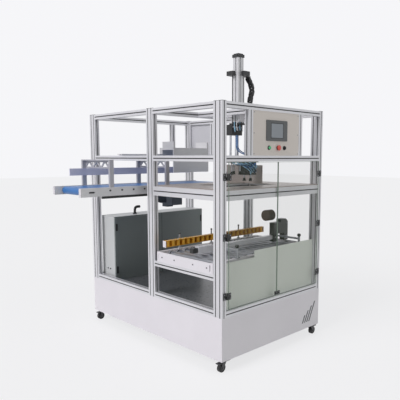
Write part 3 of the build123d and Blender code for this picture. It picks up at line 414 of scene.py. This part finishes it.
def slot_shade_strips():
    """Strips of painted shade in the slots of every post, rail and beam of slotted profile."""
    wide, deep, width, depth = 40, 80, 1100, 1600
    bays = ((80, 715), (795, 1520))
    bars = []
    for x in (0, width - wide):
        for y in (0, 715, depth - deep):
            bars.append(((x, y, 380), (x + wide, y + deep, 1780), 2))
        for z in (380, 1400, 1740):
            for y0, y1 in bays:
                bars.append(((x, y0, z), (x + wide, y1, z + wide), 1))
        bars.append(((x, bays[0][0], 620), (x + wide, bays[0][1], 660), 1))
        bars.append(((x, bays[0][0], 1149), (x + wide, bays[0][1], 1215), 1))
    for z in (380, 1400, 1740):
        for y in (0, depth - wide):
            bars.append(((wide, y, z), (width - wide, y + wide, z + wide), 0))
    for y, z, tall in ((735, 1740, wide), (1230, 1414, wide), (0, 1149, 66), (735, 1149, 66)):
        bars.append(((wide, y, z), (width - wide, y + wide, z + tall), 0))
    for x, y in ((250, 0), (795, 0), (860, depth - wide), (width - wide, 1195)):
        bars.append(((x, y, 1440), (x + wide, y + wide, 1740), 2))
    for x in (459, 611):
        bars.append(((x, wide, 1740), (x + wide, 735, 1780), 1))
    shape = bmesh.new()
    for low, high, along in bars:
        add_slot_strips(shape, at(*low), at(*high), along)
    piece("slot_shade_strips", shape, SLOT_DARK)


def post_caps():
    """Grey plastic caps on the tops of the posts."""
    low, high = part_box("frame_posts")
    shape = bmesh.new()
    wide, deep, inset = 0.040, 0.080, 0.001
    middle = skirt_low.y + 0.715
    for x in (low.x, high.x - wide):
        for y in (low.y, middle, high.y - deep):
            add_box(
                shape,
                (x + inset, y + inset, high.z),
                (x + wide - inset, y + deep - inset, high.z + 0.003),
            )
    piece("post_caps", shape, M["screen"], bevel=0.001)


def skirt_stripes():
    """A plain row of slanted stripes low on the right of the front skirt."""
    shape = bmesh.new()
    thickness, width, gap, slant = 0.0004, 0.014, 0.014, 0.075
    bottom = 0.135
    heights = (0.06, 0.09, 0.12, 0.15)
    start = at(880, 0, 0).x
    for index, height in enumerate(heights):
        x = start + index * (width + gap)
        lean = slant * height / heights[-1]
        corners = [(x, bottom), (x + width, bottom), (x + width + lean, bottom + height)]
        corners.append((x + lean, bottom + height))
        near = [shape.verts.new((cx, skirt_low.y - thickness, cz)) for cx, cz in corners]
        far = [shape.verts.new((cx, skirt_low.y + thickness, cz)) for cx, cz in corners]
        shape.faces.new(near)
        shape.faces.new(reversed(far))
        for k in range(4):
            shape.faces.new((near[k - 1], far[k - 1], far[k], near[k]))
    piece("skirt_stripes", shape, STRIPE_GREY)


def skirt_hems():
    """Folded hems along the lower edge of the skirt."""
    shape = bmesh.new()
    hem, proud = 0.004, 0.0008
    z = skirt_low.z
    add_box(
        shape,
        (skirt_low.x - proud, skirt_low.y - proud, z),
        (skirt_high.x + proud, skirt_low.y, z + hem),
    )
    add_box(
        shape,
        (skirt_low.x - proud, skirt_high.y, z),
        (skirt_high.x + proud, skirt_high.y + proud, z + hem),
    )
    for x0, x1 in ((skirt_low.x - proud, skirt_low.x), (skirt_high.x, skirt_high.x + proud)):
        add_box(shape, (x0, skirt_low.y, z), (x1, skirt_high.y, z + hem))
    piece("skirt_hems", shape, M["white_sheet"])


def castor_details():
    """Hub caps and a brake lever on every castor."""
    for corner in ("front_left", "front_right", "back_left", "back_right"):
        low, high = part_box(f"{corner}_wheel")
        centre = (low + high) / 2
        hubs = bmesh.new()
        for side in (-1, 1):
            face = centre + Vector((0, side * (high.y - low.y) / 2, 0))
            out = Vector((0, side, 0))
            add_rod(hubs, face - out * 0.002, face + out * 0.0012, 0.016, 0.014)
        piece(
            f"{corner}_hubs", hubs, M["dark_steel"], f"{corner}_castor_wheel", 0.0005
        )
        fork_low, fork_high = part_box(f"{corner}_fork")
        outward = 1 if centre.x > (fork_low.x + fork_high.x) / 2 else -1
        lever = bmesh.new()
        tip = centre.x + outward * 0.036
        root = centre.x - outward * 0.006
        for x0, x1, z0, z1 in (
            (root, tip - outward * 0.012, 0.0625, 0.0665),
            (tip - outward * 0.014, tip, 0.0605, 0.0655),
        ):
            add_box(
                lever,
                (min(x0, x1), fork_low.y + 0.002, z0),
                (max(x0, x1), fork_high.y - 0.002, z1),
            )
        for side_y in (fork_low.y, fork_high.y):
            out = Vector((0, math.copysign(1, side_y - centre.y), 0))
            axle = Vector((centre.x, side_y, centre.z))
            add_rod(lever, axle, axle + out * 0.003, 0.0065, sides=6)
        piece(f"{corner}_brake", lever, M["dark_steel"], f"{corner}_castor", 0.0008)


# Doors


def door_details():
    for side, direction in (("left", 1), ("right", -1)):
        low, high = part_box(f"{side}_door_panel")
        edge = 0.0012
        rim = bmesh.new()
        for x0, x1, z0, z1 in (
            (low.x - edge, low.x + edge, low.z - edge, high.z + edge),
            (high.x - edge, high.x + edge, low.z - edge, high.z + edge),
            (low.x, high.x, low.z - edge, low.z + edge),
            (low.x, high.x, high.z - edge, high.z + edge),
        ):
            add_box(rim, (x0, low.y - 0.0002, z0), (x1, high.y + 0.0002, z1))
        piece(f"{side}_door_edges", rim, EDGE_GREEN, f"{side}_door")
        fit_low, fit_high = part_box(f"{side}_door_fittings")
        screws = bmesh.new()
        hinge_side = low.x if direction > 0 else high.x
        for centre_z in (0.525, 0.914, 1.303):
            for lift in (-0.013, 0.013):
                place = (hinge_side + direction * 0.009, low.y - 0.004, centre_z + lift)
                add_screw(screws, place, (0, -1, 0), 0.003)
        seam = high.x if direction > 0 else low.x
        catch_x = seam - direction * 0.0135
        catch_z = low.z + 0.018
        front = low.y - 0.006
        for lift in (-0.008, 0.008):
            add_screw(screws, (catch_x, front, catch_z + lift), (0, -1, 0), 0.0025)
        piece(f"{side}_door_screws", screws, M["steel"], f"{side}_door")
        knob = bmesh.new()
        add_rod(knob, (catch_x, front, catch_z), (catch_x, front - 0.004, catch_z), 0.004, 0.0035)
        piece(f"{side}_door_knob", knob, M["black_plastic"], f"{side}_door", 0.0006)


def hinge_screws():
    low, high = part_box("fixed_hinge_leaves")
    screws = bmesh.new()
    for x in (low.x + 0.009, high.x - 0.009):
        for centre_z in (0.525, 0.914, 1.303):
            for lift in (-0.013, 0.013):
                add_screw(screws, (x, skirt_low.y - 0.004, centre_z + lift), (0, -1, 0), 0.003)
    piece("hinge_screws", screws, M["steel"])


# Control panel


def screen_details():
    low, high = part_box("touch_screen")
    glass = bmesh.new()
    inset_x, inset_z = 0.050, 0.022
    add_box(
        glass,
        (low.x + inset_x, low.y - 0.0006, low.z + inset_z),
        (high.x - inset_x, low.y + 0.0012, high.z - inset_z),
    )
    piece("screen_glass", glass, DARK_GLASS, bevel=0.001)
    frame_shape = bmesh.new()
    lip = 0.004
    x0, x1 = low.x + inset_x - lip, high.x - inset_x + lip
    z0, z1 = low.z + inset_z - lip, high.z - inset_z + lip
    for bx0, bx1, bz0, bz1 in (
        (x0, x1, z0, z0 + lip),
        (x0, x1, z1 - lip, z1),
        (x0, x0 + lip, z0, z1),
        (x1 - lip, x1, z0, z1),
    ):
        add_box(frame_shape, (bx0, low.y - 0.0008, bz0), (bx1, low.y + 0.001, bz1))
    piece("screen_lip", frame_shape, M["black_plastic"], bevel=0.0004)


def panel_buttons():
    low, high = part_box("push_buttons")
    centre_z = (low.z + high.z) / 2
    face = high.y
    places = (at(459, 0, 0).x, at(556, 0, 0).x, at(627, 0, 0).x)
    collars = bmesh.new()
    for x in places:
        add_rod(collars, (x, face, centre_z), (x, face - 0.004, centre_z), 0.0155, 0.0145, 32)
        add_rod(collars, (x, face - 0.004, centre_z), (x, face - 0.006, centre_z), 0.0135, 0.0125, 32)
    piece("button_collars", collars, M["black_plastic"], replaces=("push_buttons",))
    green = bmesh.new()
    add_rod(green, (places[0], face, centre_z), (places[0], face - 0.011, centre_z), 0.0112, sides=32)
    add_rod(
        green, (places[0], face - 0.011, centre_z), (places[0], face - 0.013, centre_z), 0.0112, 0.009, 32
    )
    piece("start_button", green, GREEN_LENS)
    red = bmesh.new()
    add_rod(red, (places[1], face, centre_z), (places[1], face - 0.010, centre_z), 0.011, sides=32)
    for near, far, r0, r1 in (
        (0.009, 0.012, 0.017, 0.0195),
        (0.012, 0.016, 0.0195, 0.0185),
        (0.016, 0.0185, 0.0185, 0.014),
    ):
        add_rod(
            red, (places[1], face - near, centre_z), (places[1], face - far, centre_z), r0, r1, 32
        )
    piece("stop_button", red, RED_HEAD)
    switch = bmesh.new()
    add_rod(switch, (places[2], face, centre_z), (places[2], face - 0.008, centre_z), 0.0115, sides=32)
    add_box(
        switch,
        (places[2] - 0.003, face - 0.016, centre_z - 0.0105),
        (places[2] + 0.003, face - 0.006, centre_z + 0.0105),
    )
    piece("selector_switch", switch, M["black_plastic"], bevel=0.0008)


def panel_screws():
    low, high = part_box("control_panel")
    screws = bmesh.new()
    inset = 0.012
    for x in (low.x + inset, high.x - inset):
        for z in (low.z + inset, (low.z + high.z) / 2, high.z - inset):
            add_screw(screws, (x, low.y, z), (0, -1, 0), 0.0035)
    piece("panel_screws", screws, M["steel"])


# Infeed conveyor


def infeed_details():
    low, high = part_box("infeed_rails")
    bolts = bmesh.new()
    z = high.z - 0.022
    for x in (-270, -170, -70, 30, 230, 430, 630, 830):
        for y, out in ((low.y, -1), (high.y, 1)):
            add_screw(bolts, (at(x, 0, 0).x, y, z), (0, out, 0), 0.0065)
    piece("rail_bolts", bolts, M["black_metal"])
    # Dark patches of painted shade in the rail slots near the outer end.
    shade_patches = bmesh.new()
    middle = (low.z + high.z) / 2
    for y in (low.y, high.y - 0.028):
        add_box(
            shade_patches,
            (low.x + 0.064, y + 0.004, middle - 0.0052),
            (low.x + 0.102, y + 0.024, middle + 0.0052),
        )
    piece("slot_shade_patches", shade_patches, SLOT_DARK, bevel=0.001)
    caps = bmesh.new()
    for y in (low.y, high.y - 0.028):
        add_box(caps, (low.x - 0.003, y + 0.0005, low.z + 0.0005), (low.x, y + 0.0275, high.z - 0.0005))
    piece("rail_end_caps", caps, M["white_sheet"], bevel=0.001)
    duct = bmesh.new()
    add_box(duct, at(-330, 874, 1132), at(395, 894, 1149.5))
    piece("cable_duct", duct, M["black_plastic"], bevel=0.0015)


def drive_details():
    """Cooling ribs, fan cover and terminal box on the conveyor motor."""
    low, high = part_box("belt_drive")
    centre = Vector(((low.x + high.x) / 2, 0, low.z + 0.055))
    start, end = at(0, 1028, 0).y, at(0, 1180, 0).y
    ribs = bmesh.new()
    count = 12
    for index in range(count):
        y = start + (end - start) * (index + 0.5) / count
        add_rod(ribs, (centre.x, y - 0.002, centre.z), (centre.x, y + 0.002, centre.z), 0.052, sides=36)
    add_rod(ribs, (centre.x, end, centre.z), (centre.x, high.y, centre.z), 0.05, 0.044, 36)
    add_box(
        ribs,
        (centre.x - 0.030, start + 0.02, centre.z - 0.075),
        (centre.x + 0.030, start + 0.09, centre.z - 0.040),
    )
    piece("motor_ribs", ribs, M["motor_grey"], bevel=0.0008)


# Carton conveyor


def roller_ends():
    low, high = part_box("carton_rollers")
    frame_low, frame_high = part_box("carton_frame")
    shafts = bmesh.new()
    z = high.z - 0.022
    for index in range(13):
        x = at(95 + index * 75, 0, 0).x
        for y, out in ((frame_low.y, -1), (frame_high.y, 1)):
            add_rod(shafts, (x, y, z), (x, y + out * 0.004, z), 0.0075, 0.0065, 6)
    piece("roller_shaft_ends", shafts, M["steel"])
    bands = bmesh.new()
    for index in range(13):
        x = at(95 + index * 75, 0, 0).x
        for y in (low.y + 0.03, high.y - 0.03):
            add_rod(bands, (x, y - 0.006, z), (x, y + 0.006, z), 0.0224, sides=36)
    piece("roller_bands", bands, M["black_rubber"], bevel=0.0005)


def conveyor_screws():
    low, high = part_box("carton_frame")
    screws = bmesh.new()
    middle = (low.z + high.z) / 2
    for x, out in ((low.x, -1), (high.x, 1)):
        for y in (low.y + 0.060, low.y + 0.2, high.y - 0.2, high.y - 0.060):
            add_screw(screws, (x, y, middle), (out, 0, 0), 0.0045)
    piece("end_plate_screws", screws, M["dark_steel"])


def yellow_rollers():
    """Round rollers with shafts, in place of the plain ones."""
    low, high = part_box("guide_rollers")
    count, length, radius = 22, 1.084, 0.014
    start = at(8, 0, 0).x
    rollers = bmesh.new()
    shafts = bmesh.new()
    y = low.y + radius
    for index in range(count):
        x = start + (index + 0.5) * length / count
        add_rod(rollers, (x, y, low.z + 0.001), (x, y, high.z - 0.001), radius, sides=28)
        add_rod(shafts, (x, y, high.z + 0.0028), (x, y, high.z + 0.005), 0.0045, 0.004, 12)
    piece(
        "guide_roller_row", rollers, M["yellow_guide"], bevel=0.0012,
        replaces=("guide_rollers",),
    )
    piece("guide_roller_pins", shafts, M["steel"])
    guide_low, guide_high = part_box("roller_guide")
    cap = bmesh.new()
    for x0, x1 in ((guide_low.x - 0.004, guide_low.x), (guide_high.x, guide_high.x + 0.004)):
        add_box(cap, (x0, guide_low.y - 0.001, guide_low.z - 0.001), (x1, guide_high.y, guide_high.z))
    piece("guide_end_caps", cap, M["white_sheet"], bevel=0.0012)


def side_drive_details():
    beam_low, beam_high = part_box("side_drive_beam")
    belt = bmesh.new()
    y = beam_high.y
    add_box(
        belt,
        (beam_low.x - 0.03, y + 0.0004, beam_low.z + 0.012),
        (beam_high.x + 0.02, y + 0.004, beam_high.z - 0.012),
    )
    piece("side_belt", belt, M["black_rubber"], bevel=0.001)
    drive_low, drive_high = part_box("side_drive")
    motor = bmesh.new()
    centre_y = (drive_low.y + drive_high.y) / 2
    centre_z = 0.922 + 0.042
    start, end = at(814, 0, 0).x, at(896, 0, 0).x
    for index in range(7):
        x = start + (end - start) * (index + 0.5) / 7
        add_rod(motor, (x - 0.003, centre_y, centre_z), (x + 0.003, centre_y, centre_z), 0.0435, sides=36)
    piece("side_motor_ribs", motor, BROWN_MOTOR, bevel=0.0008)
    bolts = bmesh.new()
    for x in (at(915, 0, 0).x, at(1065, 0, 0).x):
        for z in (0.78, 0.90 if x < at(1000, 0, 0).x else 0.885):
            add_screw(bolts, (x, drive_low.y, z), (0, -1, 0), 0.005)
    piece("side_drive_bolts", bolts, M["steel"])


def stand_knobs():
    """Clamp knobs on the stands of the guide and of the side drive."""
    knobs = bmesh.new()
    blocks = bmesh.new()
    for x in (205, 540, 860):
        foot = at(x, 669, 735)
        top = at(x, 669, 844)
        add_rod(knobs, top, top + Vector((0, 0, 0.010)), 0.0085, 0.006)
        add_rod(blocks, foot, foot + Vector((0, 0, 0.010)), 0.014, 0.012)
    for x in (245, 955):
        top = at(x, 99, 805)
        add_rod(knobs, top, top + Vector((0, 0, 0.012)), 0.010, 0.016)
        add_rod(knobs, top + Vector((0, 0, 0.012)), top + Vector((0, 0, 0.024)), 0.016, 0.010)
        foot = at(x, 99, 735)
        add_box(blocks, foot - Vector((0.018, 0.014, 0)), foot + Vector((0.018, 0.014, 0.014)))
    piece("stand_knobs", knobs, M["black_plastic"], bevel=0.0006)
    piece("stand_feet", blocks, M["steel"], bevel=0.001)


# Electrical cabinet


def cabinet_details():
    low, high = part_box("cabinet_door")
    box_low, box_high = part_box("electrical_cabinet")
    fittings = bmesh.new()
    for z in (low.z + 0.09, high.z - 0.09):
        for x in (low.x + 0.006, high.x - 0.022):
            add_box(fittings, (x, low.y - 0.006, z - 0.03), (x + 0.016, low.y, z + 0.03))
    middle_x = (low.x + high.x) / 2
    for x in (middle_x - 0.06, middle_x + 0.06):
        add_rod(fittings, (x, low.y, 0.66), (x, low.y - 0.006, 0.66), 0.013, 0.011)
    piece("cabinet_fittings", fittings, M["black_plastic"], bevel=0.001)
    seam = bmesh.new()
    add_box(seam, (middle_x - 0.0015, low.y - 0.0003, low.z), (middle_x + 0.0015, low.y + 0.001, high.z))
    piece("cabinet_seam", seam, SLOT_DARK)
    dots = bmesh.new()
    for y in (box_low.y + 0.07, box_low.y + 0.11):
        add_rod(dots, (box_low.x, y, 0.47), (box_low.x - 0.003, y, 0.47), 0.007, 0.006)
    piece("cabinet_glands", dots, M["black_plastic"])


def ribbed_conduit():
    """A corrugated elbow made of many rings along the path of the plain one."""
    low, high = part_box("cabinet_conduit")
    x, y = at(330, 0, 0).x, (low.y + high.y) / 2
    rise, reach, bend = 0.062, 0.056, 0.026
    base = low.z
    shape = bmesh.new()
    add_rod(shape, (x, y, base), (x, y, base + 0.010), 0.0175, sides=6)
    straight = rise - bend
    arc = math.pi / 2 * bend
    total = straight + arc + reach - bend
    pitch = 0.004

    def along(distance):
        if distance < straight:
            return Vector((x, y, base + distance))
        if distance < straight + arc:
            angle = (distance - straight) / bend
            return Vector((x + bend * (1 - math.cos(angle)), y, base + straight + bend * math.sin(angle)))
        return Vector((x + bend + distance - straight - arc, y, base + rise))

    distance = 0.0
    while distance + pitch < total:
        add_rod(shape, along(distance), along(distance + pitch), 0.0095, sides=16)
        add_rod(shape, along(distance + pitch * 0.2), along(distance + pitch * 0.7), 0.012, sides=16)
        distance += pitch
    piece(
        "ribbed_conduit", shape, M["black_plastic"], bevel=0.0003,
        replaces=("cabinet_conduit",),
    )


# Lift


def mast_hook():
    """A black cover on the mast's cap, with a small hook at its side."""
    low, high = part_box("mast")
    shape = bmesh.new()
    proud, tall = 0.0012, 0.021
    add_box(shape, (low.x - proud, low.y - proud, high.z - tall), (high.x + proud, high.y + proud, high.z))
    add_box(
        shape,
        (low.x + 0.006, low.y + 0.006, high.z - 0.002),
        (high.x - 0.006, high.y - 0.006, high.z + 0.007),
    )
    z = high.z - 0.006
    add_rod(shape, (low.x, low.y + 0.012, z - 0.004), (low.x - 0.022, low.y - 0.004, z), 0.003, sides=12)
    add_rod(
        shape, (low.x - 0.022, low.y - 0.004, z), (low.x - 0.030, low.y - 0.010, z - 0.006), 0.003, 0.002, 12
    )
    piece("mast_hook", shape, M["black_metal"], bevel=0.003)


def chain_lids():
    """Closing lids on the links of the energy chain, one for each link."""
    pitch, half_width, thickness = 0.026, 0.0135, 0.0135
    headings = (42, 34, 22, 6, -16, -20, -10, 0, 0, 0, 0, 0, 0)
    place = at(664, 390, 2022)
    shape = bmesh.new()
    for heading in headings:
        turn = Matrix.Rotation(math.radians(-heading), 4, "Y")
        step = turn @ Vector((0, 0, -pitch))
        middle = place + step / 2
        size = Matrix.Diagonal((thickness, 2 * half_width, pitch * 0.86, 1))
        bmesh.ops.create_cube(shape, size=1, matrix=Matrix.Translation(middle) @ turn @ size)
        place = place + step
    piece("chain_lids", shape, M["black_plastic"], "lift", 0.0015)


def lift_fittings():
    """Push-in fittings where the tubes meet the valve block and the head."""
    block_low, block_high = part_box("valve_block")
    head_low, head_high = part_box("pick_head")
    shape = bmesh.new()
    for x in (0.012, 0.037, 0.062, 0.087):
        start = Vector((block_low.x + x, block_low.y, block_high.z - 0.018))
        add_rod(shape, start, start + Vector((0, -0.012, 0)), 0.006, 0.005, 16)
    manifold_x = at(638, 0, 0).x
    for k in range(5):
        start = Vector((manifold_x + 0.010 + k * 0.016, head_low.y, head_low.z + 0.020 + (k % 2) * 0.034))
        add_rod(shape, start, start + Vector((0, -0.008, 0)), 0.0055, 0.0045, 16)
    piece("tube_fittings", shape, M["steel"], "lift")


def upper_tubes():
    """The two feeds and three lanes that the solids hold, as smooth lines."""
    feeds = []
    top = at(0, 0, 1592).z
    plate = at(0, 0, 1400).z
    for feed_x, feed_y, fitting_x in ((507, 350, 638), (534, 360, 704)):
        a = at(feed_x, feed_y + 12, 0)
        b = at(fitting_x, feed_y + 12, 0)
        feeds.append(
            [
                (a.x, a.y, top),
                (a.x, a.y, top - 0.05),
                (a.x + 0.002, a.y, plate + 0.09),
                (a.x * 0.6 + b.x * 0.4, a.y, plate + 0.058),
                (b.x - 0.008, a.y, plate + 0.045),
                (b.x, a.y, plate + 0.02),
                (b.x, a.y, plate),
            ]
        )
    tubes("feed_tubes", feeds, 0.004, BLUE_TUBE, "lift", ("air_tubes",))
    lanes = []
    for lane, lane_y in enumerate((352, 430, 447)):
        start = at(463 + 12 * lane, lane_y, 1400)
        end = at(730 - 12 * lane, lane_y, 1400)
        lanes.append(
            [
                start,
                start + Vector((0, 0, 0.016)),
                start + Vector((0.02, 0, 0.030)),
                (start + end) / 2 + Vector((0, 0, 0.032)),
                end + Vector((-0.02, 0, 0.030)),
                end + Vector((0, 0, 0.016)),
                end,
            ]
        )
    tubes("lane_tubes", lanes, 0.004, M["blue_tube"], "lift")


def head_tubes():
    """Tubes that loop from the cups and the plate to the manifold, in front of the head."""
    head_low, head_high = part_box("pick_head")
    manifold_x = at(638, 0, 0).x
    front = head_low.y
    colours = ((M["blue_tube"], []), (BLUE_TUBE, []), (DEEP_TUBE, []))
    for k in range(13):
        start = Vector((at(452 + 15 * k, 0, 0).x, front - 0.004, 1.388 - 0.004 * (k % 3)))
        end = Vector(
            (manifold_x + 0.006 + 0.006 * k, front - 0.006, head_low.z + 0.012 + 0.006 * (k * 5 % 13))
        )
        rise = draws.uniform(0.0, 0.016)
        sag = draws.uniform(0.01, 0.045)
        proud = draws.uniform(0.004, 0.014)
        middle = (start + end) / 2
        colours[k % 3][1].append(
            [
                start,
                start + Vector((0.004, -proud, -0.018 + rise)),
                Vector((middle.x - 0.02, front - proud, 1.372 + rise * 0.5)),
                Vector((middle.x + 0.03, front - proud, 1.366 - sag * 0.5)),
                end + Vector((-0.014, -proud, 0.022)),
                end + Vector((0.004, -0.008, -0.008)),
                end,
            ]
        )
    for index, (colour, routes) in enumerate(colours):
        tubes(f"head_tubes_{index}", routes, 0.0032, colour, "lift")


def valve_tubes():
    """Light tubes that loop in front of the valve block."""
    low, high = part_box("valve_block")
    white, light = [], []
    for k in range(4):
        x = low.x + 0.012 + 0.025 * k
        start = Vector((x, low.y - 0.010, high.z - 0.018))
        droop = draws.uniform(0.03, 0.055)
        lean = draws.uniform(-0.025, 0.0)
        route = [
            start,
            start + Vector((0, -0.012, -0.004)),
            start + Vector((lean * 0.5, -0.018, -droop)),
            start + Vector((lean, -0.016, 0.01)),
            start + Vector((lean + 0.012, -0.010, 0.045)),
            Vector((x + 0.02, low.y + 0.006, high.z + 0.012)),
        ]
        (white if k % 2 else light).append(route)
    tubes("valve_tubes_white", white, 0.003, WHITE_TUBE, "lift")
    tubes("valve_tubes_light", light, 0.003, M["blue_tube"], "lift")


def cup_details():
    """Bellows cups on threaded stems, in place of the plain ones."""
    low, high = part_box("suction_cups")
    manifold_left, manifold_right = 638, 722
    stems = bmesh.new()
    cups = bmesh.new()
    centre_y = (low.y + high.y) / 2
    for cup_x in (470, 560, 680):
        under = manifold_left < cup_x < manifold_right
        top = 1.292 if under else 1.388
        stem = 0.024 if under else 0.066
        for side in (-1, 1):
            x, y = at(cup_x, 0, 0).x, centre_y + side * 0.033
            foot = top - stem
            add_rod(stems, (x, y, foot - 0.002), (x, y, top), 0.005, sides=20)
            add_rod(stems, (x, y, top - 0.008), (x, y, top), 0.009, sides=6)
            for index, (z0, z1, r0, r1) in enumerate(
                (
                    (0.0, 0.004, 0.0065, 0.0115),
                    (0.004, 0.008, 0.0115, 0.0085),
                    (0.008, 0.013, 0.0085, 0.0135),
                    (0.013, 0.017, 0.0135, 0.0105),
                    (0.017, 0.0238, 0.0105, 0.0158),
                )
            ):
                add_rod(cups, (x, y, foot - z0), (x, y, foot - z1), r0, r1, 28)
    piece("cup_stems", stems, M["steel"], "lift", replaces=("suction_cups",))
    piece("bellows_cups", cups, M["black_rubber"], "lift")


make_camera()
make_world()
make_floor()
make_light()
dress_nodes()
slot_shade_strips()
post_caps()
skirt_stripes()
skirt_hems()
castor_details()
door_details()
hinge_screws()
screen_details()
panel_buttons()
panel_screws()
infeed_details()
drive_details()
roller_ends()
conveyor_screws()
yellow_rollers()
side_drive_details()
stand_knobs()
cabinet_details()
ribbed_conduit()
mast_hook()
chain_lids()
lift_fittings()
upper_tubes()
head_tubes()
valve_tubes()
cup_details()

scene = bpy.context.scene
scene.view_settings.view_transform = "Standard"
